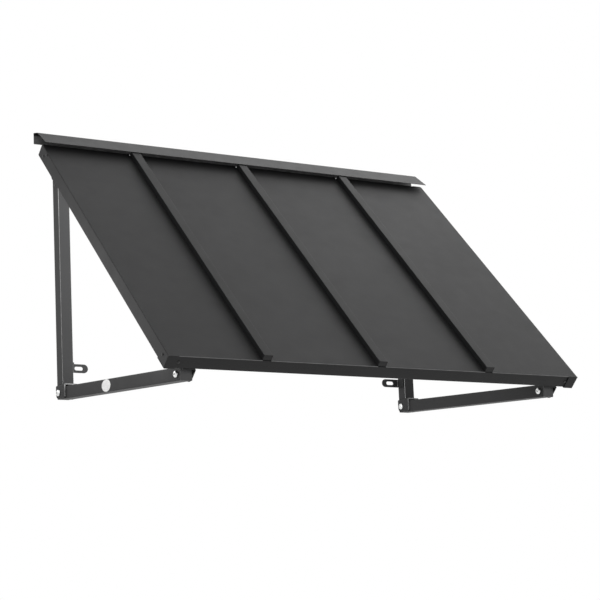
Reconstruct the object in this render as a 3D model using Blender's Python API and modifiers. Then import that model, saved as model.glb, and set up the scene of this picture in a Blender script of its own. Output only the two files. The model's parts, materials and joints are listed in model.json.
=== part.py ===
"""Standing-seam metal awning on two wall bars with support arms.

Metres, +Z up. The wall is the plane Y = 0 and the awning reaches out towards -Y.
The origin lies on the wall, at the middle of the wall flashing's back leaf.
"""
import math

import bmesh
import bpy
from mathutils import Matrix, Vector

# Gaps and sheets
FIT = 0.0003                 # between pieces that touch
ROOF_SHEET = 0.0008
PLATE = 0.003                # folded brackets and ears

# Roof, measured along its slope from the side rails' upper ends
ROOF_WIDTH = 1.130
ROOF_LENGTH = 0.8405
ROOF_PITCH = math.radians(46.0)
WALL_GAP = 0.0483            # wall to the roof's upper edge
ROOF_DROP = 0.0267           # origin down to the roof's upper edge
SEAM_COUNT = 3
SEAM_PITCH = 0.307
SEAM_OFFSET = -0.0125        # middle of the seams, off the roof's middle
SEAM_WIDTH = 0.024
SEAM_HEIGHT = 0.013
SEAM_START = 0.008
SEAM_BEND = 0.0015
SEAM_END_INSET = 0.0005
PANEL_LEG = 0.0105           # upturned edge inside a seam
PANEL_LEG_END = 0.006        # flat stretch of panel beyond a leg's ends
PANEL_LIP = 0.0030           # turned down over the front rail
PANEL_BEND = 0.0012

# Roof frame
RAIL_HEIGHT = 0.0315
SIDE_RAIL_WIDTH = 0.025
CROSS_RAIL_WIDTH = 0.030
REAR_RAIL_START = 0.004
RAIL_WALL = 0.0012
RAIL_CORNER = 0.0015
RAIL_PLUG = 0.0045           # how far a rail's end plug stands out
CORNER_CAP_WALL = 0.0012
CORNER_CAP_SIDE = 0.037      # along the side rail
CORNER_CAP_FRONT = 0.0255    # along the front rail
CORNER_CAP_RISE = 0.001      # over the roof
CORNER_CAP_BEND = 0.0018

# Wall flashing
FLASHING_SHEET = 0.0008
FLASHING_LEAF = 0.0278       # on the wall
FLASHING_TOP_DEPTH = 0.0207
FLASHING_LIFT = math.radians(9.3)    # its front leaf is this much flatter than the roof
FLASHING_LAP = 0.0123        # over the roof, down the slope
FLASHING_OVERHANG = 0.0018   # past the roof at each end
FLASHING_OFFSET = 0.0012     # its middle, off the roof's middle
FLASHING_BEND = 0.0015

# Wall bars and arms
TUBE = 0.030
TUBE_WALL = 0.0015
TUBE_CORNER = 0.002
BAR_INSET = 0.0475           # roof's side to the bar's outer side
BAR_TOP_REACH = 0.017        # above the upper bolt
UPPER_GAP = 0.0085           # between the bar's upper end and the upper bracket's web
WALL_BOLT_DROP = 0.6252      # origin down to the wall end's bolt
ARM_TOP_GAP = 0.0005         # under the lower bracket's web
ARM_REAR_REACH = 0.012       # behind the wall end's bolt
ARM_FRONT_REACH = 0.0165     # beyond the front bolt
FRONT_GAP = 0.0018           # between the arm's front end and the front bracket's web
FRONT_BOLT_INSET = 0.0160    # behind the roof's front face
FRONT_BRACKET_INSET = 0.0003

# Brackets and ears
BRACKET_BEND = 0.004
CHEEK_RADIUS = 0.0147        # round end about a bolt
LOWER_BRACKET_DEPTH = 0.045
LOWER_BRACKET_CORNER = 0.004
EAR_HEIGHT = 0.021
EAR_REACH = 0.052            # from the bar's side
EAR_LEG = 0.027
SLOT_LENGTH = 0.023
SLOT_WIDTH = 0.0094
SLOT_INSET = 0.0245          # slot's middle to the ear's tip
LOWER_EAR_RISE = 0.0435      # above the bar's lower end
UPPER_EAR_DROP = 0.062       # below the bar's upper end

# Plugs, bolts and screws
PLUG_FLANGE = 0.0016
PLUG_SPIGOT = 0.0065
PLUG_EDGE = 0.0007
RAIL_PLUG_EDGE = 0.0018
BOLT_DIAMETER = 0.008
BOLT_HOLE = 0.0086
BOLT_HEAD = 0.0156
BOLT_HEAD_HEIGHT = 0.0048
BOLT_HEAD_ROUND = 0.0036
BOLT_SOCKET = 0.0055         # across the flats
BOLT_SOCKET_DEPTH = 0.003
BOLT_TAIL = 0.002            # beyond the nut
NUT_ACROSS = 0.013
NUT_HEIGHT = 0.0065
SCREW_DIAMETER = 0.004
SCREW_HOLE = 0.0046
SCREW_HEAD = 0.007
SCREW_HEAD_HEIGHT = 0.002
SCREW_LENGTH = 0.010
SCREW_DRILL = 0.007          # how deep a screw's hole is cut from the surface
RAIL_SCREWS = ((0.038, 0.0065), (0.0227, 0.0187))    # down the slope, below the roof
CORNER_SCREW_INSET = 0.0227
CORNER_SCREW_DEPTH = 0.0148
FASCIA_SCREW_INSET = 0.0300
FASCIA_SCREW_DEPTH = 0.0165
BAR_SCREW_DROP = 0.042       # below the bar's upper end

# Facets
ROUND_STEPS = 24
BEND_STEPS = 3
ARC_STEPS = 12

# Places that follow from the sizes above
COS = math.cos(ROOF_PITCH)
SIN = math.sin(ROOF_PITCH)
HALF_WIDTH = ROOF_WIDTH / 2
HALF_TUBE = TUBE / 2
RAIL_TOP = -ROOF_SHEET - FIT
RAIL_BOTTOM = RAIL_TOP - RAIL_HEIGHT
RAIL_MIDDLE = (RAIL_TOP + RAIL_BOTTOM) / 2
WEB_TOP = RAIL_BOTTOM - FIT
SEAM_TOP = FIT + SEAM_HEIGHT
LIP_FACE = ROOF_LENGTH + FIT + ROOF_SHEET
BAR_X = HALF_WIDTH - BAR_INSET - HALF_TUBE
CHEEK_X = HALF_TUBE + FIT + PLATE


def roof_to_world(slope, height):
    """World Y and Z of a place given down the slope and out of the roof."""
    return (-WALL_GAP - slope * COS - height * SIN, -ROOF_DROP - slope * SIN + height * COS)


def slope_at(y, height):
    """How far down the slope a place with this world Y and height over the roof lies."""
    return (-y - WALL_GAP - height * SIN) / COS


UPPER_BOLT_HEIGHT = WEB_TOP - PLATE - UPPER_GAP - math.hypot(HALF_TUBE, BAR_TOP_REACH)
UPPER_BOLT_SLOPE = slope_at(-HALF_TUBE, UPPER_BOLT_HEIGHT)
UPPER_BOLT = roof_to_world(UPPER_BOLT_SLOPE, UPPER_BOLT_HEIGHT)
FRONT_BOLT_HEIGHT = WEB_TOP - PLATE - FRONT_GAP - math.hypot(HALF_TUBE, ARM_FRONT_REACH)
FRONT_BOLT_SLOPE = ROOF_LENGTH - FRONT_BOLT_INSET
FRONT_BOLT = roof_to_world(FRONT_BOLT_SLOPE, FRONT_BOLT_HEIGHT)
WALL_BOLT = (-HALF_TUBE, -WALL_BOLT_DROP)
ARM_FALL = math.atan2(WALL_BOLT[1] - FRONT_BOLT[1], WALL_BOLT[0] - FRONT_BOLT[0])
ARM_SPAN = math.dist(WALL_BOLT, FRONT_BOLT)
ARM_RISE_AT_WALL = HALF_TUBE * math.tan(ARM_FALL)
ARM_RISE_AT_FRONT = (HALF_TUBE - LOWER_BRACKET_DEPTH) * math.tan(ARM_FALL)
ARM_TOP = WALL_BOLT[1] + HALF_TUBE / math.cos(ARM_FALL) + max(ARM_RISE_AT_WALL, ARM_RISE_AT_FRONT)
LOWER_WEB_TOP = ARM_TOP + ARM_TOP_GAP + PLATE
BAR_BOTTOM = LOWER_WEB_TOP + FIT
BAR_TOP = UPPER_BOLT[1] + BAR_TOP_REACH


# Scene, collections and materials
def clear_scene():
    for obj in list(bpy.data.objects):
        bpy.data.objects.remove(obj, do_unlink=True)


def new_collection(name):
    collection = bpy.data.collections.new(name)
    bpy.context.scene.collection.children.link(collection)
    return collection


def new_material(name, colour, roughness, metallic=0.0):
    made = bpy.data.materials.new(name)
    made.use_nodes = True
    shader = made.node_tree.nodes["Principled BSDF"]
    shader.inputs["Base Color"].default_value = (*colour, 1.0)
    shader.inputs["Roughness"].default_value = roughness
    shader.inputs["Metallic"].default_value = metallic
    return made


clear_scene()
PARTS = new_collection("metal_awning")
CUTTERS = new_collection("cutters")
ROOF_PAINT = new_material("roof_paint", (0.075, 0.075, 0.078), 0.45)
FRAME_PAINT = new_material("frame_paint", (0.065, 0.065, 0.068), 0.5)
ZINC = new_material("zinc_plate", (0.72, 0.72, 0.70), 0.3, 1.0)
SCREW_BLACK = new_material("black_screw", (0.03, 0.03, 0.03), 0.4, 0.6)
PLUG_PLASTIC = new_material("plug_plastic", (0.03, 0.03, 0.03), 0.6)


def roof_plane():
    """An empty at the roof's upper edge: local -Y runs down the slope, +Z out of the roof."""
    empty = bpy.data.objects.new("roof_plane", None)
    PARTS.objects.link(empty)
    empty.location = (0.0, -WALL_GAP, -ROOF_DROP)
    empty.rotation_euler = (ROOF_PITCH, 0.0, 0.0)
    return empty


ROOF = roof_plane()


# Tools for making shapes
def finish_object(name, bm, made_of, parent=None, collection=None):
    """An object from a bmesh, in the parts' collection unless another is given."""
    mesh = bpy.data.meshes.new(name)
    bm.normal_update()
    bm.to_mesh(mesh)
    bm.free()
    mesh.shade_smooth()
    mesh.set_sharp_from_angle(angle=math.radians(35.0))
    if made_of:
        mesh.materials.append(made_of)
    obj = bpy.data.objects.new(name, mesh)
    (collection or PARTS).objects.link(obj)
    obj.parent = parent
    return obj


def finish_cutter(name, bm, parent=None):
    obj = finish_object(name, bm, None, parent, CUTTERS)
    obj.hide_render = True
    obj.display_type = "WIRE"
    return obj


def solidify(obj, thickness):
    """Thicken an open surface inwards from its outer side."""
    modifier = obj.modifiers.new("thickness", "SOLIDIFY")
    modifier.thickness = thickness
    modifier.offset = -1.0
    modifier.use_even_offset = True
    return modifier


def boolean(obj, cutter, operation="DIFFERENCE"):
    modifier = obj.modifiers.new(cutter.name, "BOOLEAN")
    modifier.operation = operation
    modifier.solver = "EXACT"
    modifier.object = cutter


def folds(bm):
    """The edges of an open surface along which two leaves meet."""
    return [edge for edge in bm.edges if len(edge.link_faces) == 2]


def bevel_edges(bm, edges, width):
    bmesh.ops.bevel(bm, geom=edges, offset=width, segments=BEND_STEPS, profile=0.5, affect="EDGES")


def look_outward(bm, face, outward):
    """Turn every face of a connected surface, if need be, so that one face looks outward."""
    bm.normal_update()
    if face.normal.dot(Vector(outward)) < 0:
        bmesh.ops.reverse_faces(bm, faces=bm.faces)


def folded_sheet(name, profile, sweep, thickness, bend, outward, made_of, parent=None):
    """A sheet bent along parallel folds.

    The profile is the outer side's section, it is swept by a vector, and outward is
    the way that the outer side of the profile's first leaf looks.
    """
    bm = bmesh.new()
    row = [bm.verts.new(point) for point in profile]
    edges = [bm.edges.new(pair) for pair in zip(row, row[1:])]
    swept = bmesh.ops.extrude_edge_only(bm, edges=edges)
    moved = [item for item in swept["geom"] if isinstance(item, bmesh.types.BMVert)]
    bmesh.ops.translate(bm, vec=sweep, verts=moved)
    look_outward(bm, edges[0].link_faces[0], outward)
    bevel_edges(bm, folds(bm), bend)
    obj = finish_object(name, bm, made_of, parent)
    solidify(obj, thickness)
    return obj


def open_box(bm, size, is_open):
    """A box surface without the faces that is_open picks by their normal."""
    bmesh.ops.create_cube(bm, size=1.0)
    bmesh.ops.scale(bm, vec=size, verts=bm.verts)
    bm.normal_update()
    bmesh.ops.delete(bm, geom=[face for face in bm.faces if is_open(face.normal)], context="FACES_ONLY")


def tube(name, width, depth, length, wall, corner, made_of, parent=None):
    """A rectangular tube, open at both ends, from local Z = 0 to its length."""
    bm = bmesh.new()
    open_box(bm, (width, depth, length), lambda normal: abs(normal.z) > 0.9)
    bmesh.ops.translate(bm, vec=(0, 0, length / 2), verts=bm.verts)
    bevel_edges(bm, folds(bm), corner)
    obj = finish_object(name, bm, made_of, parent)
    solidify(obj, wall)
    return obj


def arc(centre, radius, start, end, steps=ARC_STEPS):
    """Points on an arc, its angles in degrees."""
    points = []
    for step in range(steps + 1):
        angle = math.radians(start + (end - start) * step / steps)
        points.append((centre[0] + radius * math.cos(angle), centre[1] + radius * math.sin(angle)))
    return points


# A drawing's two axes become Y and Z, or X and Z
ACROSS_X = Matrix(((0, 0, 1, 0), (1, 0, 0, 0), (0, 1, 0, 0), (0, 0, 0, 1)))
ACROSS_Y = Matrix(((1, 0, 0, 0), (0, 0, -1, 0), (0, 1, 0, 0), (0, 0, 0, 1)))


def outline_cutter(name, outline, thickness, stand, parent=None, x=0.0):
    """A flat outline, thickened both ways and stood up across X or Y."""
    curve = bpy.data.curves.new(name, "CURVE")
    curve.dimensions = "2D"
    curve.fill_mode = "BOTH"
    curve.extrude = thickness / 2
    spline = curve.splines.new("POLY")
    spline.points.add(len(outline) - 1)
    for point, (across, up) in zip(spline.points, outline):
        point.co = (across, up, 0.0, 1.0)
    spline.use_cyclic_u = True
    drawn = bpy.data.objects.new(name + "_outline", curve)
    CUTTERS.objects.link(drawn)
    evaluated = drawn.evaluated_get(bpy.context.evaluated_depsgraph_get())
    mesh = bpy.data.meshes.new_from_object(evaluated)
    bpy.data.objects.remove(drawn)
    bm = bmesh.new()
    bm.from_mesh(mesh)
    bpy.data.meshes.remove(mesh)
    bmesh.ops.remove_doubles(bm, verts=bm.verts, dist=0.00001)
    bmesh.ops.transform(bm, matrix=Matrix.Translation((x, 0.0, 0.0)) @ stand, verts=bm.verts)
    bmesh.ops.recalc_face_normals(bm, faces=bm.faces)
    return finish_cutter(name, bm, parent)


def rod_cutter(name, diameter, low, high, parent=None, sides=ROUND_STEPS):
    """A round or hexagonal cutter between two places."""
    low = Vector(low)
    high = Vector(high)
    bm = bmesh.new()
    bmesh.ops.create_cone(bm, cap_ends=True, segments=sides, radius1=diameter / 2,
                          radius2=diameter / 2, depth=(high - low).length)
    turn = Vector((0, 0, 1)).rotation_difference(high - low).to_matrix().to_4x4()
    bmesh.ops.transform(bm, matrix=Matrix.Translation((low + high) / 2) @ turn, verts=bm.verts)
    return finish_cutter(name, bm, parent)


def turned(name, profile, made_of, parent=None):
    """A round piece about local Z: its profile runs down its outer side from the axis."""
    bm = bmesh.new()
    row = [bm.verts.new((radius, 0.0, height)) for radius, height in profile]
    for pair in zip(row, row[1:]):
        bm.edges.new(pair)
    obj = finish_object(name, bm, made_of, parent)
    modifier = obj.modifiers.new("turn", "SCREW")
    modifier.steps = ROUND_STEPS
    modifier.render_steps = ROUND_STEPS
    modifier.use_merge_vertices = True
    modifier.merge_threshold = 0.00001
    return obj


def rounded_ring(width, depth, corner):
    """Points around a rectangle with round corners."""
    points = []
    for turn, (along, across) in enumerate(((1, 1), (-1, 1), (-1, -1), (1, -1))):
        centre = (along * (width / 2 - corner), across * (depth / 2 - corner))
        points.extend(arc(centre, corner, 90 * turn, 90 * turn + 90, BEND_STEPS))
    return points


def end_plug(name, width, depth, wall, corner, flange, edge, parent=None):
    """A push-in plug for a tube that ends at local Z = 0: flange above, spigot below."""
    inner = 2 * (wall + FIT)
    inner_corner = max(corner - wall, FIT)
    sections = (
        (width - inner, depth - inner, inner_corner, -PLUG_SPIGOT),
        (width - inner, depth - inner, inner_corner, FIT),
        (width, depth, corner, FIT),
        (width, depth, corner, FIT + flange - edge),
        (width - 0.6 * edge, depth - 0.6 * edge, corner, FIT + flange - 0.3 * edge),
        (width - 2 * edge, depth - 2 * edge, corner, FIT + flange),
    )
    bm = bmesh.new()
    rings = []
    for ring_width, ring_depth, ring_corner, height in sections:
        ring = rounded_ring(ring_width, ring_depth, ring_corner)
        rings.append([bm.verts.new((x, y, height)) for x, y in ring])
    bm.faces.new(reversed(rings[0]))
    for below, above in zip(rings, rings[1:]):
        for here in range(len(below)):
            after = (here + 1) % len(below)
            bm.faces.new((below[here], below[after], above[after], above[here]))
    bm.faces.new(rings[-1])
    return finish_object(name, bm, PLUG_PLASTIC, parent)


def place(obj, location, rotation=(0.0, 0.0, 0.0)):
    obj.location = location
    obj.rotation_euler = rotation
    return obj


# Roof sheets
def seam_middles():
    first = SEAM_OFFSET - SEAM_PITCH * (SEAM_COUNT - 1) / 2
    return [first + SEAM_PITCH * index for index in range(SEAM_COUNT)]


def fold_edge(bm, first, second, shift):
    """Grow a leaf from the edge between two corners."""
    edge = bm.edges.get((first, second))
    grown = bmesh.ops.extrude_edge_only(bm, edges=[edge])
    moved = [item for item in grown["geom"] if isinstance(item, bmesh.types.BMVert)]
    bmesh.ops.translate(bm, vec=shift, verts=moved)
    return edge


def roof_panel(name, left, right, leg_left, leg_right):
    """A pan whose edges turn up inside the seams and down over the front rail."""
    rows = (0.0, -SEAM_START - PANEL_LEG_END, PANEL_LEG_END - LIP_FACE, -LIP_FACE)
    bm = bmesh.new()
    left_side = [bm.verts.new((left, y, 0.0)) for y in rows]
    right_side = [bm.verts.new((right, y, 0.0)) for y in rows]
    pan = bm.faces.new(left_side + right_side[::-1])
    leaf = (0.0, 0.0, PANEL_LEG)
    if leg_left:
        fold_edge(bm, left_side[1], left_side[2], leaf)
    if leg_right:
        fold_edge(bm, right_side[1], right_side[2], leaf)
    front = fold_edge(bm, left_side[3], right_side[3], (0.0, 0.0, -PANEL_LIP))
    look_outward(bm, pan, (0.0, 0.0, 1.0))
    bevel_edges(bm, [front], PANEL_BEND)
    modifier = solidify(finish_object(name, bm, ROOF_PAINT, ROOF), ROOF_SHEET)
    modifier.solidify_mode = "NON_MANIFOLD"
    modifier.nonmanifold_thickness_mode = "CONSTRAINTS"


def roof_panels():
    inside = SEAM_WIDTH / 2 - ROOF_SHEET - FIT
    seams = seam_middles()
    lefts = [-HALF_WIDTH] + [seam + inside for seam in seams]
    rights = [seam - inside for seam in seams] + [HALF_WIDTH]
    for index, (left, right) in enumerate(zip(lefts, rights)):
        roof_panel(f"roof_panel_{index + 1}", left, right, index > 0, index < len(seams))


def seam_caps():
    """Channels over the panels' upturned edges, closed at the front."""
    length = ROOF_LENGTH - SEAM_END_INSET - SEAM_START
    for index, middle in enumerate(seam_middles()):
        bm = bmesh.new()
        open_box(bm, (SEAM_WIDTH, length, SEAM_HEIGHT), lambda normal: normal.z < -0.9 or normal.y > 0.9)
        bevel_edges(bm, folds(bm), SEAM_BEND)
        cap = finish_object(f"seam_cap_{index + 1}", bm, ROOF_PAINT, ROOF)
        solidify(cap, ROOF_SHEET)
        place(cap, (middle, -SEAM_START - length / 2, FIT + SEAM_HEIGHT / 2))


def wall_flashing():
    """A hood over the gap at the wall: it laps over the seams' upper ends."""
    under_lip = SEAM_TOP + FIT + (FLASHING_LAP - SEAM_START) * math.tan(FLASHING_LIFT)
    lip_y, lip_z = roof_to_world(FLASHING_LAP, under_lip + FLASHING_SHEET / math.cos(FLASHING_LIFT))
    fold_z = lip_z - (FLASHING_TOP_DEPTH + lip_y) * math.tan(ROOF_PITCH - FLASHING_LIFT)
    width = ROOF_WIDTH + 2 * FLASHING_OVERHANG
    start = FLASHING_OFFSET - width / 2
    profile = (
        (start, 0.0, -FLASHING_LEAF / 2),
        (start, 0.0, FLASHING_LEAF / 2),
        (start, -FLASHING_TOP_DEPTH, fold_z),
        (start, lip_y, lip_z),
    )
    folded_sheet("wall_flashing", profile, (width, 0.0, 0.0), FLASHING_SHEET, FLASHING_BEND,
                 (0.0, 1.0, 0.0), ROOF_PAINT)


# Roof frame
def cross_rail(name, slope_middle):
    half = HALF_WIDTH - SIDE_RAIL_WIDTH - FIT
    rail = tube(name, RAIL_HEIGHT, CROSS_RAIL_WIDTH, 2 * half, RAIL_WALL, RAIL_CORNER, FRAME_PAINT, ROOF)
    return place(rail, (-half, -slope_middle, RAIL_MIDDLE), (0.0, math.pi / 2, 0.0))


def side_rail(side, label):
    x = side * (HALF_WIDTH - SIDE_RAIL_WIDTH / 2)
    rail = tube(f"{label}_side_rail", SIDE_RAIL_WIDTH, RAIL_HEIGHT, ROOF_LENGTH, RAIL_WALL,
                RAIL_CORNER, FRAME_PAINT, ROOF)
    place(rail, (x, 0.0, RAIL_MIDDLE), (math.pi / 2, 0.0, 0.0))
    plug = end_plug(f"{label}_rail_plug", SIDE_RAIL_WIDTH, RAIL_HEIGHT, RAIL_WALL, RAIL_CORNER,
                    RAIL_PLUG, RAIL_PLUG_EDGE, ROOF)
    place(plug, (x, 0.0, RAIL_MIDDLE), (-math.pi / 2, 0.0, 0.0))
    return rail


def corner_cap(side, label):
    """A folded plate over the front and the underside of a front corner."""
    outer = HALF_WIDTH
    inner = HALF_WIDTH - CORNER_CAP_FRONT
    front = LIP_FACE + FIT + CORNER_CAP_WALL
    rear = ROOF_LENGTH - CORNER_CAP_SIDE
    bottom = WEB_TOP - CORNER_CAP_WALL
    size = (outer - inner, front - rear, CORNER_CAP_RISE - bottom)
    middle = (side * (outer + inner) / 2, -(front + rear) / 2, (CORNER_CAP_RISE + bottom) / 2)
    bm = bmesh.new()
    open_box(bm, size, lambda normal: normal.z > 0.9 or normal.y > 0.9 or abs(normal.x) > 0.9)
    bevel_edges(bm, folds(bm), CORNER_CAP_BEND)
    cap = finish_object(f"{label}_corner_cap", bm, FRAME_PAINT, ROOF)
    solidify(cap, CORNER_CAP_WALL)
    return place(cap, middle)


# Wall bars and arms
def tube_plug(name, where, lean=0.0):
    plug = end_plug(name, TUBE, TUBE, TUBE_WALL, TUBE_CORNER, PLUG_FLANGE, PLUG_EDGE)
    place(plug, where, (lean, 0.0, 0.0))


def wall_bar(side, label):
    x = side * BAR_X
    bar = tube(f"{label}_wall_bar", TUBE, TUBE, BAR_TOP - BAR_BOTTOM, TUBE_WALL, TUBE_CORNER, FRAME_PAINT)
    tube_plug(f"{label}_bar_plug", (x, -HALF_TUBE, BAR_TOP))
    return place(bar, (x, -HALF_TUBE, BAR_BOTTOM))


def support_arm(side, label):
    """An arm from the wall bar's lower end out to the front rail, with both ends plugged."""
    lean = math.pi / 2 + ARM_FALL
    start = Vector((side * BAR_X, *WALL_BOLT))
    out = Vector((0.0, -math.cos(ARM_FALL), -math.sin(ARM_FALL)))
    rear = start - ARM_REAR_REACH * out
    front = start + (ARM_SPAN + ARM_FRONT_REACH) * out
    arm = tube(f"{label}_support_arm", TUBE, TUBE, (front - rear).length, TUBE_WALL, TUBE_CORNER, FRAME_PAINT)
    tube_plug(f"{label}_arm_rear_plug", rear, lean + math.pi)
    tube_plug(f"{label}_arm_front_plug", front, lean)
    return place(arm, rear, (lean, 0.0, 0.0))


# Brackets: folded plates trimmed to their side outline
def channel(name, x, top, drop, rear, front, parent=None):
    """An upside-down channel about x, with its web's upper side at a height."""
    section = ((-CHEEK_X, drop), (-CHEEK_X, 0.0), (CHEEK_X, 0.0), (CHEEK_X, drop))
    profile = [(x + across, rear, top - down) for across, down in section]
    return folded_sheet(name, profile, (0.0, front - rear, 0.0), PLATE, BRACKET_BEND,
                        (-1.0, 0.0, 0.0), FRAME_PAINT, parent)


def trim(obj, outline, x, parent=None):
    """Keep what lies inside an outline that is drawn from the side."""
    shape = outline_cutter(obj.name + "_trim", outline, 3 * TUBE, ACROSS_X, parent, x)
    boolean(obj, shape, "INTERSECT")


def round_ended(centre, radius, top):
    """A tab's side outline: straight sides from its top down to a half round."""
    y, z = centre
    return [(y - radius, top)] + arc(centre, radius, 180, 360) + [(y + radius, top)]


def lower_bracket(side, label):
    """The channel on the wall bar's lower end, open below for the arm."""
    x = side * BAR_X
    y, z = WALL_BOLT
    front = -LOWER_BRACKET_DEPTH
    bottom = z - CHEEK_RADIUS
    over = LOWER_WEB_TOP + PLATE
    bracket = channel(f"{label}_lower_bracket", x, LOWER_WEB_TOP, over - bottom, PLATE, front - PLATE)
    corner = (front + LOWER_BRACKET_CORNER, bottom + LOWER_BRACKET_CORNER)
    outline = [(front, over)] + arc(corner, LOWER_BRACKET_CORNER, 180, 270, BEND_STEPS)
    outline += arc(WALL_BOLT, CHEEK_RADIUS, 270, 360) + [(y + CHEEK_RADIUS, over)]
    trim(bracket, outline, x)
    return bracket


def upper_bracket(side, label):
    """The channel under the rear rail, astride the wall bar's upper end."""
    x = side * BAR_X
    centre = (-UPPER_BOLT_SLOPE, UPPER_BOLT_HEIGHT)
    over = WEB_TOP + PLATE
    rear = centre[0] + CHEEK_RADIUS + PLATE
    front = centre[0] - CHEEK_RADIUS - PLATE
    drop = over - centre[1] + CHEEK_RADIUS
    bracket = channel(f"{label}_upper_bracket", x, WEB_TOP, drop, rear, front, ROOF)
    trim(bracket, round_ended(centre, CHEEK_RADIUS, over), x, ROOF)
    return bracket


def front_bracket(side, label):
    """An angle under the front rail, with its tab on the arm's +X side."""
    x = side * BAR_X
    centre = (-FRONT_BOLT_SLOPE, FRONT_BOLT_HEIGHT)
    radius = FRONT_BOLT_INSET - FRONT_BRACKET_INSET
    over = WEB_TOP + PLATE
    rear = centre[0] + radius + PLATE
    front = centre[0] - radius - PLATE
    section = ((-HALF_TUBE, 0.0), (CHEEK_X, 0.0), (CHEEK_X, over - centre[1] + radius))
    profile = [(x + across, rear, WEB_TOP - down) for across, down in section]
    bracket = folded_sheet(f"{label}_front_bracket", profile, (0.0, front - rear, 0.0), PLATE,
                           BRACKET_BEND, (0.0, 0.0, 1.0), FRAME_PAINT, ROOF)
    trim(bracket, round_ended(centre, radius, over), x, ROOF)
    return bracket


def ear(side, label, z):
    """An angle on the bar's inner side, its wall leaf slotted for a wall screw."""
    inner = side * (BAR_X - HALF_TUBE - FIT)
    tip = inner - side * EAR_REACH
    half = EAR_HEIGHT / 2
    low = z - half - PLATE
    profile = ((tip, 0.0, low), (inner, 0.0, low), (inner, -EAR_LEG, low))
    plate = folded_sheet(f"{label}_ear", profile, (0.0, 0.0, EAR_HEIGHT + 2 * PLATE), PLATE, BRACKET_BEND,
                         (0.0, 1.0, 0.0), FRAME_PAINT)
    past = inner + side * TUBE
    round_end = arc((tip + side * half, z), half, 90, -90 if side < 0 else 270)
    shape = round_end + [(past, z - half), (past, z + half)]
    boolean(plate, outline_cutter(f"{label}_ear_shape", shape, 3 * EAR_LEG, ACROSS_Y), "INTERSECT")
    middle = tip + side * SLOT_INSET
    reach = (SLOT_LENGTH - SLOT_WIDTH) / 2
    slot = arc((middle + reach, z), SLOT_WIDTH / 2, -90, 90) + arc((middle - reach, z), SLOT_WIDTH / 2, 90, 270)
    boolean(plate, outline_cutter(f"{label}_ear_slot", slot, 4 * PLATE, ACROSS_Y))


# Bolts across X, their heads towards -X
def bolt_and_nut(label, x, place_yz, head_side, nut_side, hole):
    """A round-headed bolt and its nut, on the two faces that they clamp, as offsets from x."""
    y, z = place_yz
    radius = BOLT_HEAD / 2
    flat = radius - BOLT_HEAD_ROUND
    shank = BOLT_DIAMETER / 2
    length = nut_side - head_side + 2 * FIT + NUT_HEIGHT + BOLT_TAIL
    crown = arc((flat, BOLT_HEAD_HEIGHT - BOLT_HEAD_ROUND), BOLT_HEAD_ROUND, 90, 0, BEND_STEPS + 1)
    profile = [(0.0, BOLT_HEAD_HEIGHT)] + crown
    profile += [(radius, 0.0), (shank, 0.0), (shank, -length), (0.0, -length)]
    bolt = turned(f"{label}_bolt", profile, ZINC)
    place(bolt, (x + head_side - FIT, y, z), (0.0, -math.pi / 2, 0.0))
    floor = BOLT_HEAD_HEIGHT - BOLT_SOCKET_DEPTH
    socket = rod_cutter(f"{label}_bolt_socket", BOLT_SOCKET / math.cos(math.pi / 6), (0.0, 0.0, floor),
                        (0.0, 0.0, floor + 2 * BOLT_SOCKET_DEPTH), bolt, 6)
    boolean(bolt, socket)
    corner = NUT_ACROSS / 2 / math.cos(math.pi / 6)
    bm = bmesh.new()
    bmesh.ops.create_cone(bm, cap_ends=True, segments=6, radius1=corner, radius2=corner, depth=NUT_HEIGHT)
    nut = finish_object(f"{label}_nut", bm, ZINC)
    place(nut, (x + nut_side + FIT + NUT_HEIGHT / 2, y, z), (0.0, math.pi / 2, 0.0))
    boolean(nut, hole)


def bolt_hole(name, place_yz):
    y, z = place_yz
    return rod_cutter(name, BOLT_HOLE, (-ROOF_WIDTH, y, z), (ROOF_WIDTH, y, z))


# Small pan-headed screws
def screw(name, where, outward, drilled, lift=0.0, parent=None):
    """A screw whose head looks outward and stands lift above its place, with its holes."""
    radius = SCREW_HEAD / 2
    shank = SCREW_DIAMETER / 2
    crown = [(radius * math.sin(angle), SCREW_HEAD_HEIGHT * math.cos(angle))
             for angle in (math.radians(90 * step / (BEND_STEPS + 1)) for step in range(BEND_STEPS + 2))]
    crown += [(shank, 0.0), (shank, -SCREW_LENGTH), (0.0, -SCREW_LENGTH)]
    profile = [(across, up + lift + FIT) for across, up in crown]
    turn = Vector((0, 0, 1)).rotation_difference(Vector(outward)).to_euler()
    place(turned(name, profile, SCREW_BLACK, parent), where, turn)
    reach = SCREW_DRILL * Vector(outward)
    hole = rod_cutter(name + "_hole", SCREW_HOLE, Vector(where) - reach, Vector(where) + reach, parent)
    for obj in drilled:
        boolean(obj, hole)


def side_screws(side, label, rail):
    face = side * HALF_WIDTH
    outward = (side, 0.0, 0.0)
    for index, (slope, depth) in enumerate(RAIL_SCREWS):
        screw(f"{label}_rail_screw_{index + 1}", (face, -slope, -depth), outward, (rail,), 0.0, ROOF)
    where = (face, CORNER_SCREW_INSET - ROOF_LENGTH, -CORNER_SCREW_DEPTH)
    screw(f"{label}_corner_screw", where, outward, (rail,), 0.0, ROOF)


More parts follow.
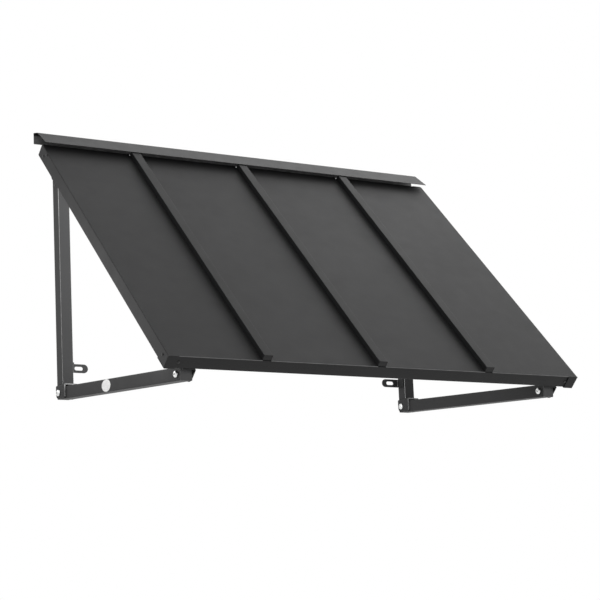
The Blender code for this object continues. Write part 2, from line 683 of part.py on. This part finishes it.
# The whole awning
def frame_side(side, label, holes, front_rail):
    """Everything that stands once at each side of the awning."""
    x = side * BAR_X
    side_screws(side, label, side_rail(side, label))
    corner_cap(side, label)
    fascia_x = side * (HALF_WIDTH - FASCIA_SCREW_INSET)
    screw(f"{label}_fascia_screw", (fascia_x, -ROOF_LENGTH, -FASCIA_SCREW_DEPTH), (0.0, -1.0, 0.0),
          (front_rail,), 0.0, ROOF)
    bar = wall_bar(side, label)
    arm = support_arm(side, label)
    screw(f"{label}_bar_screw", (x - HALF_TUBE, -HALF_TUBE, BAR_TOP - BAR_SCREW_DROP), (-1.0, 0.0, 0.0), (bar,))
    bolts = (
        ("wall", WALL_BOLT, -CHEEK_X, (arm, lower_bracket(side, label))),
        ("front", FRONT_BOLT, -HALF_TUBE, (arm, front_bracket(side, label))),
        ("upper", UPPER_BOLT, -CHEEK_X, (bar, upper_bracket(side, label))),
    )
    for end, where, head_side, drilled in bolts:
        bolt_and_nut(f"{label}_{end}", x, where, head_side, CHEEK_X, holes[end])
        for obj in drilled:
            boolean(obj, holes[end])
    ear(side, f"{label}_lower", BAR_BOTTOM + LOWER_EAR_RISE)
    ear(side, f"{label}_upper", BAR_TOP - UPPER_EAR_DROP)


def build():
    roof_panels()
    seam_caps()
    wall_flashing()
    cross_rail("rear_rail", REAR_RAIL_START + CROSS_RAIL_WIDTH / 2)
    front_rail = cross_rail("front_rail", ROOF_LENGTH - CROSS_RAIL_WIDTH / 2)
    holes = {
        "wall": bolt_hole("wall_bolt_hole", WALL_BOLT),
        "front": bolt_hole("front_bolt_hole", FRONT_BOLT),
        "upper": bolt_hole("upper_bolt_hole", UPPER_BOLT),
    }
    frame_side(-1, "left", holes, front_rail)
    frame_side(1, "right", holes, front_rail)


build()
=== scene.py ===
"""The looks of a metal awning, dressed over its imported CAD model.

Lengths are metres in the model's frame: X runs along the wall, Y into it and
Z up. Zero lies on the wall, at the middle of the flashing's back leaf.
"""

import json
import math
from collections import namedtuple

import bmesh
import bpy
from mathutils import Matrix, Vector


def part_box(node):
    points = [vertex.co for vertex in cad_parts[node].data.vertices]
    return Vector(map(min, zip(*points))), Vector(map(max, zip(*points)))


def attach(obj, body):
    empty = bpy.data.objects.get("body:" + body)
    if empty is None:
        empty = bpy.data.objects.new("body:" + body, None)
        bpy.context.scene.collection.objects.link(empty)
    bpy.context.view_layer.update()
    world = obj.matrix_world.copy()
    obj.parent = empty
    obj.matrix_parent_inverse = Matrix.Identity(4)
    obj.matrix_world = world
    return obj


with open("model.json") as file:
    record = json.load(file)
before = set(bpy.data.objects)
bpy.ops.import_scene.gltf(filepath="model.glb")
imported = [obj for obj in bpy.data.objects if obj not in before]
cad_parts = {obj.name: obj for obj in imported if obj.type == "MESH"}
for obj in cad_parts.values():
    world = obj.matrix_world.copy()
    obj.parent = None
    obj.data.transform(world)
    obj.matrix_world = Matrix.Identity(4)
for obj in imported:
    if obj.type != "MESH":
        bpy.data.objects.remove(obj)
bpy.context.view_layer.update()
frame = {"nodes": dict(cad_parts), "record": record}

# The photograph's camera
IMAGE_WIDTH = 600
FOCAL_PIXELS = 2003.0
SENSOR_WIDTH = 36.0
CAMERA_PLACE = Vector((-2.6252, -4.2938, -1.2901))
CAMERA_YAW = math.radians(33.230)
CAMERA_PITCH = math.radians(10.345)
CAMERA_ROLL = math.radians(-2.573)

# A white studio: its strength where it is seen and where it only lights, and its soft boxes
STUDIO_WHITE = 1.0
STUDIO_LIGHT = 0.70
Softbox = namedtuple("Softbox", "name place target size watts")
SOFTBOXES = (
    Softbox("overhead", (0.9, 0.75, 1.2), (0.7, 0.3, -0.3), (1.6, 1.2), 7.6),
    Softbox("overhead_right", (2.3, 0.3, 1.2), (1.0, 0.0, -0.3), (1.4, 1.6), 9.4),
    Softbox("left_side", (-0.95, 0.25, -0.3), (-0.56, -0.3, -0.35), (0.35, 0.45), 0.85),
    Softbox("under_roof", (-0.15, -0.297, -0.370), (-0.15, 0.062, -0.7175), (0.9, 0.72), 8.5),
)

# Every noise below is given as (scale, detail, roughness), and its middle range is used
NOISE_RANGE = (0.3, 0.7)

# The floor, at the foot of the door that the awning covers, and the light added where it is seen
FLOOR_DEPTH = 2.3
FLOOR_REACH = 60.0
FLOOR_COLOURS = ((0.80, 0.80, 0.80), (0.84, 0.84, 0.84))
FLOOR_MOTTLE = (3.0, 4.0, 0.5)
FLOOR_ROUGHNESS = 0.9
FLOOR_LIFT = 0.40

# Edges that the press and the powder coat leave soft
EDGE_ROUND = 0.00035
THIN_EDGE_ROUND = 0.00018
EDGE_SEGMENTS = 2
EDGE_ANGLE = math.radians(32)
WELD = 0.000004

# The powder coat: two blacks mixed by a fine grain and a slow cloud, its roughness, its orange
# peel, and the paler colour of a painted highlight, laid in patches
COAT_COLOURS = ((0.010, 0.010, 0.0103), (0.015, 0.015, 0.0154))
COAT_GRAIN = (1300.0, 2.0, 0.5)
COAT_CLOUD = (7.0, 3.0, 0.6)
COAT_ROUGHNESS = (0.50, 0.54)
COAT_WEAR = (24.0, 4.0, 0.6)
COAT_SPECULAR = 0.22
PEEL_DEPTH = 0.00002
# Painted highlight: a pale grey mixed into the black on the rounded upright corners, the panels'
# front fold and the brackets' front edges
PAINTED_HIGHLIGHT_COLOUR = (0.22, 0.22, 0.22)
HIGHLIGHT_PATCHES = (70.0, 3.0, 0.5)
HIGHLIGHT_SHARE = (0.65, 1.0)

# How the coated metal departs from flat: the coat's peel, and slow waves with their depth
Surface = namedtuple("Surface", "peel waves wave_depth")
ROOF_SHEET = Surface((420.0, 2.0, 0.5), (3.0, 1.0, 0.5), 0.0002)
FRAME_TUBE = Surface((700.0, 2.0, 0.5), (9.0, 1.0, 0.5), 0.0003)

# Ranges over which a face counts as turned to a corner, to the front or into the panels' fold,
# and as lying over the roof's plane: where the painted highlight goes
CORNER_TURN = (0.34, 0.46)
FRONT_TURN = (-0.97, -0.88)
FOLD_TURN = (-0.87, -0.77)
ROOF_RISE = (0.006, 0.010)

# The other finishes: two colours and the noise that mixes them, the roughness and its noise,
# the surface's grain and its depth, and how metallic it is
Finish = namedtuple("Finish", "colours mottle roughness wear grain grain_depth metallic")
FINISHES = {
    "zinc_plate": Finish(
        ((0.66, 0.67, 0.68), (0.80, 0.80, 0.78)), (160.0, 4.0, 0.6),
        (0.22, 0.38), (420.0, 3.0, 0.5), (1500.0, 2.0, 0.5), 0.000012, 1.0),
    "black_screw": Finish(
        ((0.016, 0.016, 0.017), (0.040, 0.039, 0.038)), (300.0, 3.0, 0.5),
        (0.30, 0.46), (300.0, 3.0, 0.5), (1700.0, 2.0, 0.5), 0.000012, 0.5),
    "plug_plastic": Finish(
        ((0.048, 0.048, 0.049), (0.066, 0.066, 0.067)), (1900.0, 2.0, 0.5),
        (0.46, 0.58), (60.0, 3.0, 0.5), (1900.0, 2.0, 0.5), 0.00002, 0.0),
    "label_film": Finish(
        ((0.80, 0.80, 0.79), (0.88, 0.88, 0.87)), (240.0, 4.0, 0.6),
        (0.34, 0.48), (240.0, 4.0, 0.6), (900.0, 2.0, 0.5), 0.00001, 0.0),
}

# The oval label on the left arm, and its rim's rings as (inset, share of the thickness)
LABEL_LENGTH = 0.0425
LABEL_HEIGHT = 0.0285
LABEL_THICKNESS = 0.00022
LABEL_FROM_WALL = 0.2525
LABEL_CORNERS = 72
LABEL_SHARP = math.radians(40)
LABEL_RINGS = ((0.0, 0.0), (0.0, 0.45), (0.0001, 0.8), (0.0003, 0.95), (0.0008, 1.0), (0.0060, 1.0))

# A colour Mix node's sockets, whose names repeat for its other data types
MIX_FACTOR, MIX_FIRST, MIX_SECOND, MIX_RESULT = 0, 6, 7, 2


def link(tree, source, socket):
    tree.links.new(source, socket)


def new_material(name):
    """A material with one Principled shader, its node tree and that shader."""
    material = bpy.data.materials.new(name)
    material.use_nodes = True
    tree = material.node_tree
    tree.nodes.clear()
    shader = tree.nodes.new("ShaderNodeBsdfPrincipled")
    output = tree.nodes.new("ShaderNodeOutputMaterial")
    link(tree, shader.outputs["BSDF"], output.inputs["Surface"])
    return material, tree, shader


def coordinates(tree, kind):
    return tree.nodes.new("ShaderNodeTexCoord").outputs[kind]


def split_axes(tree, vector):
    node = tree.nodes.new("ShaderNodeSeparateXYZ")
    link(tree, vector, node.inputs["Vector"])
    return node.outputs


def compute(tree, operation, *values):
    """The result of a Math node on numbers and other nodes' outputs."""
    node = tree.nodes.new("ShaderNodeMath")
    node.operation = operation
    for socket, value in zip(node.inputs, values):
        if isinstance(value, float):
            socket.default_value = value
        else:
            link(tree, value, socket)
    return node.outputs["Value"]


def noise(tree, pattern):
    """A noise in the model's frame, from its scale, detail and roughness."""
    texture = tree.nodes.new("ShaderNodeTexNoise")
    for socket, value in zip(("Scale", "Detail", "Roughness"), pattern):
        texture.inputs[socket].default_value = value
    link(tree, coordinates(tree, "Object"), texture.inputs["Vector"])
    return texture.outputs["Fac"]


def spread(tree, value, onto, between=NOISE_RANGE):
    """Maps a value from one range, a noise's own unless given, onto another."""
    node = tree.nodes.new("ShaderNodeMapRange")
    node.inputs["From Min"].default_value, node.inputs["From Max"].default_value = between
    node.inputs["To Min"].default_value, node.inputs["To Max"].default_value = onto
    link(tree, value, node.inputs["Value"])
    return node.outputs["Result"]


def blend_colours(tree, value, colours):
    ramp = tree.nodes.new("ShaderNodeValToRGB")
    for element, position, colour in zip(ramp.color_ramp.elements, NOISE_RANGE, colours):
        element.position = position
        element.color = (*colour, 1.0)
    link(tree, value, ramp.inputs["Fac"])
    return ramp.outputs["Color"]


def mix_colour(tree, share, first, second):
    """Turns a colour that a node gives into a fixed second one by its share."""
    node = tree.nodes.new("ShaderNodeMix")
    node.data_type = "RGBA"
    link(tree, share, node.inputs[MIX_FACTOR])
    link(tree, first, node.inputs[MIX_FIRST])
    node.inputs[MIX_SECOND].default_value = (*second, 1.0)
    return node.outputs[MIX_RESULT]


def bump(tree, height, depth, below=None):
    """A normal from a height map whose whole range is depth metres."""
    node = tree.nodes.new("ShaderNodeBump")
    node.inputs["Strength"].default_value = 1.0
    node.inputs["Distance"].default_value = depth
    link(tree, height, node.inputs["Height"])
    if below is not None:
        link(tree, below, node.inputs["Normal"])
    return node.outputs["Normal"]


def upright_corner_highlight(tree):
    """One on the rounded corners of upright pieces, where a highlight is painted into the coat's
    colour.
    """
    normal = split_axes(tree, coordinates(tree, "Normal"))
    turn = compute(tree, "ABSOLUTE", compute(tree, "MULTIPLY", normal["X"], normal["Y"]))
    return spread(tree, turn, (0.0, 1.0), CORNER_TURN)


def bracket_edge_highlight(tree):
    """One on the upright corners and on the sheared edges that face the front, where a highlight is
    painted.
    """
    normal = split_axes(tree, coordinates(tree, "Normal"))
    sheared = spread(tree, normal["Y"], (1.0, 0.0), FRONT_TURN)
    return compute(tree, "MAXIMUM", sheared, upright_corner_highlight(tree))


def panel_fold_highlight(tree):
    """One on the panels' fold over the front rail, where a highlight is painted."""
    normal = split_axes(tree, coordinates(tree, "Normal"))
    turned = spread(tree, normal["Y"], (1.0, 0.0), FOLD_TURN)
    place = split_axes(tree, coordinates(tree, "Object"))
    rise = compute(tree, "SUBTRACT", place["Z"], place["Y"])
    return compute(tree, "MULTIPLY", turned, spread(tree, rise, (1.0, 0.0), ROOF_RISE))


def powder_coat(name, surface, highlight_mask):
    """Black powder coat: fine orange peel over metal that isn't quite flat, with a painted
    highlight.
    """
    material, tree, shader = new_material(name)
    mottle = compute(tree, "ADD", noise(tree, COAT_GRAIN), noise(tree, COAT_CLOUD))
    black = blend_colours(tree, compute(tree, "MULTIPLY", mottle, 0.5), COAT_COLOURS)
    # Painted highlight: the pale colour mixed into the black wherever the highlight mask falls, in
    # patches
    patchy = spread(tree, noise(tree, HIGHLIGHT_PATCHES), HIGHLIGHT_SHARE)
    share = compute(tree, "MULTIPLY", highlight_mask(tree), patchy)
    link(tree, mix_colour(tree, share, black, PAINTED_HIGHLIGHT_COLOUR), shader.inputs["Base Color"])
    roughness = spread(tree, noise(tree, COAT_WEAR), COAT_ROUGHNESS)
    link(tree, roughness, shader.inputs["Roughness"])
    waves = bump(tree, noise(tree, surface.waves), surface.wave_depth)
    peel = bump(tree, noise(tree, surface.peel), PEEL_DEPTH, waves)
    link(tree, peel, shader.inputs["Normal"])
    shader.inputs["Specular IOR Level"].default_value = COAT_SPECULAR
    return material


def plain_finish(name, finish):
    """A mottled material from its row in FINISHES."""
    material, tree, shader = new_material(name)
    colour = blend_colours(tree, noise(tree, finish.mottle), finish.colours)
    link(tree, colour, shader.inputs["Base Color"])
    roughness = spread(tree, noise(tree, finish.wear), finish.roughness)
    link(tree, roughness, shader.inputs["Roughness"])
    grain = bump(tree, noise(tree, finish.grain), finish.grain_depth)
    link(tree, grain, shader.inputs["Normal"])
    shader.inputs["Metallic"].default_value = finish.metallic
    return material


def seen_rays(tree):
    """One for the camera's rays and for those that gloss and glass send on."""
    path = tree.nodes.new("ShaderNodeLightPath")
    seen = compute(tree, "MAXIMUM", path.outputs["Is Camera Ray"], path.outputs["Is Glossy Ray"])
    return compute(tree, "MAXIMUM", seen, path.outputs["Is Transmission Ray"])


def floor_material(name):
    """Pale matt floor, lifted a little towards the studio's white where it is seen."""
    material, tree, shader = new_material(name)
    colour = blend_colours(tree, noise(tree, FLOOR_MOTTLE), FLOOR_COLOURS)
    link(tree, colour, shader.inputs["Base Color"])
    shader.inputs["Roughness"].default_value = FLOOR_ROUGHNESS
    lift = compute(tree, "MULTIPLY", seen_rays(tree), FLOOR_LIFT)
    shader.inputs["Emission Color"].default_value = (1.0, 1.0, 1.0, 1.0)
    link(tree, lift, shader.inputs["Emission Strength"])
    return material


def dress_nodes(finishes):
    """Gives each CAD node the finish of its material slot and soft pressed edges."""
    slots = {part["node"]: part["material_slot"] for part in frame["record"]["subparts"]}
    for name, piece in frame["nodes"].items():
        # The lower brackets take the bracket paint, whose painted highlight also falls on their
        # front edges
        finish = "bracket_paint" if name.endswith("lower_bracket") else slots[name]
        for slot in piece.material_slots:
            slot.material = finishes[finish]
        soften(piece, THIN_EDGE_ROUND if is_sheet(name) else EDGE_ROUND)


def is_sheet(name):
    return name.startswith(("roof_panel", "wall_flashing", "seam_cap"))


def soften(piece, radius):
    """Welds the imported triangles, rounds the hard edges and smooths the rest."""
    mesh = piece.data
    for layer in ("custom_normal", "sharp_face", "sharp_edge"):
        if layer in mesh.attributes:
            mesh.attributes.remove(mesh.attributes[layer])
    mesh.shade_smooth()
    weld = piece.modifiers.new("weld", "WELD")
    weld.merge_threshold = WELD
    bevel = piece.modifiers.new("edge", "BEVEL")
    bevel.width = radius
    bevel.segments = EDGE_SEGMENTS
    bevel.angle_limit = EDGE_ANGLE
    bevel.miter_outer = "MITER_ARC"
    normals = piece.modifiers.new("normals", "WEIGHTED_NORMAL")
    normals.keep_sharp = True


def mesh_piece(name, bm, material):
    bmesh.ops.recalc_face_normals(bm, faces=bm.faces)
    mesh = bpy.data.meshes.new(name)
    bm.to_mesh(mesh)
    bm.free()
    mesh.materials.append(material)
    piece = bpy.data.objects.new(name, mesh)
    bpy.context.scene.collection.objects.link(piece)
    return piece


def middle(node):
    low, high = (Vector(corner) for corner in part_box(node))
    return (low + high) / 2


def arm_label(material):
    """A blank oval label on the left arm's outer face, its rim pressed down."""
    arm_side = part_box("left_support_arm")[0][0]
    rear, front = middle("left_wall_bolt"), middle("left_front_bolt")
    centre = rear.lerp(front, (-LABEL_FROM_WALL - rear.y) / (front.y - rear.y))
    along = Vector((0.0, front.y - rear.y, front.z - rear.z)).normalized()
    across = Vector((0.0, -along.z, along.y))
    bm = bmesh.new()
    rings = []
    for inset, share in LABEL_RINGS:
        ring = []
        for step in range(LABEL_CORNERS):
            turn = 2 * math.pi * step / LABEL_CORNERS
            place = centre + (LABEL_LENGTH / 2 - inset) * math.cos(turn) * along
            place += (LABEL_HEIGHT / 2 - inset) * math.sin(turn) * across
            ring.append(bm.verts.new((arm_side - share * LABEL_THICKNESS, place.y, place.z)))
        rings.append(ring)
    for lower, upper in zip(rings, rings[1:]):
        for step in range(LABEL_CORNERS):
            after = (step + 1) % LABEL_CORNERS
            bm.faces.new((lower[step], lower[after], upper[after], upper[step]))
    bm.faces.new(rings[0])
    bm.faces.new(rings[-1])
    piece = mesh_piece("arm_label", bm, material)
    piece.data.shade_smooth()
    piece.data.set_sharp_from_angle(angle=LABEL_SHARP)
    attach(piece, "root")


def studio_floor():
    bm = bmesh.new()
    bmesh.ops.create_grid(bm, x_segments=1, y_segments=1, size=FLOOR_REACH)
    bmesh.ops.translate(bm, verts=bm.verts, vec=(0.0, 0.0, -FLOOR_DEPTH))
    floor = mesh_piece("studio_floor", bm, floor_material("pale_floor"))


def add_softbox(box):
    """A rectangular light that faces its target and stays out of the picture."""
    light = bpy.data.lights.new(box.name, "AREA")
    light.shape = "RECTANGLE"
    light.size, light.size_y = box.size
    light.energy = box.watts
    lamp = bpy.data.objects.new(box.name, light)
    lamp.location = box.place
    lamp.rotation_mode = "QUATERNION"
    facing = Vector(box.target) - Vector(box.place)
    lamp.rotation_quaternion = facing.to_track_quat("-Z", "Y")
    lamp.visible_camera = False
    bpy.context.scene.collection.objects.link(lamp)


def studio_world():
    """White where it is seen, and an even dome of light on everything else."""
    world = bpy.data.worlds.new("studio")
    world.use_nodes = True
    tree = world.node_tree
    tree.nodes.clear()
    mix = tree.nodes.new("ShaderNodeMixShader")
    link(tree, seen_rays(tree), mix.inputs["Fac"])
    for socket, strength in ((1, STUDIO_LIGHT), (2, STUDIO_WHITE)):
        background = tree.nodes.new("ShaderNodeBackground")
        background.inputs["Color"].default_value = (1.0, 1.0, 1.0, 1.0)
        background.inputs["Strength"].default_value = strength
        link(tree, background.outputs["Background"], mix.inputs[socket])
    output = tree.nodes.new("ShaderNodeOutputWorld")
    link(tree, mix.outputs["Shader"], output.inputs["Surface"])
    bpy.context.scene.world = world


def photo_camera():
    """The camera that the photograph's edges were fitted to."""
    forward = Vector((
        math.sin(CAMERA_YAW) * math.cos(CAMERA_PITCH),
        math.cos(CAMERA_YAW) * math.cos(CAMERA_PITCH),
        math.sin(CAMERA_PITCH),
    ))
    level = Vector((math.cos(CAMERA_YAW), -math.sin(CAMERA_YAW), 0.0))
    upright = level.cross(forward)
    right = math.cos(CAMERA_ROLL) * level + math.sin(CAMERA_ROLL) * upright
    up = math.cos(CAMERA_ROLL) * upright - math.sin(CAMERA_ROLL) * level
    data = bpy.data.cameras.new("camera")
    data.sensor_width = SENSOR_WIDTH
    data.lens = SENSOR_WIDTH * FOCAL_PIXELS / IMAGE_WIDTH
    camera = bpy.data.objects.new("camera", data)
    turned = Matrix((right, up, -forward)).transposed().to_4x4()
    camera.matrix_world = Matrix.Translation(CAMERA_PLACE) @ turned
    bpy.context.scene.collection.objects.link(camera)
    bpy.context.scene.camera = camera


photo_camera()
studio_world()
studio_floor()
for softbox in SOFTBOXES:
    add_softbox(softbox)

finishes = {name: plain_finish(name, finish) for name, finish in FINISHES.items()}
finishes["roof_paint"] = powder_coat("roof_paint", ROOF_SHEET, panel_fold_highlight)
finishes["frame_paint"] = powder_coat("frame_paint", FRAME_TUBE, upright_corner_highlight)
finishes["bracket_paint"] = powder_coat("bracket_paint", FRAME_TUBE, bracket_edge_highlight)
dress_nodes(finishes)
arm_label(finishes["label_film"])

bpy.context.scene.view_settings.view_transform = "Standard"
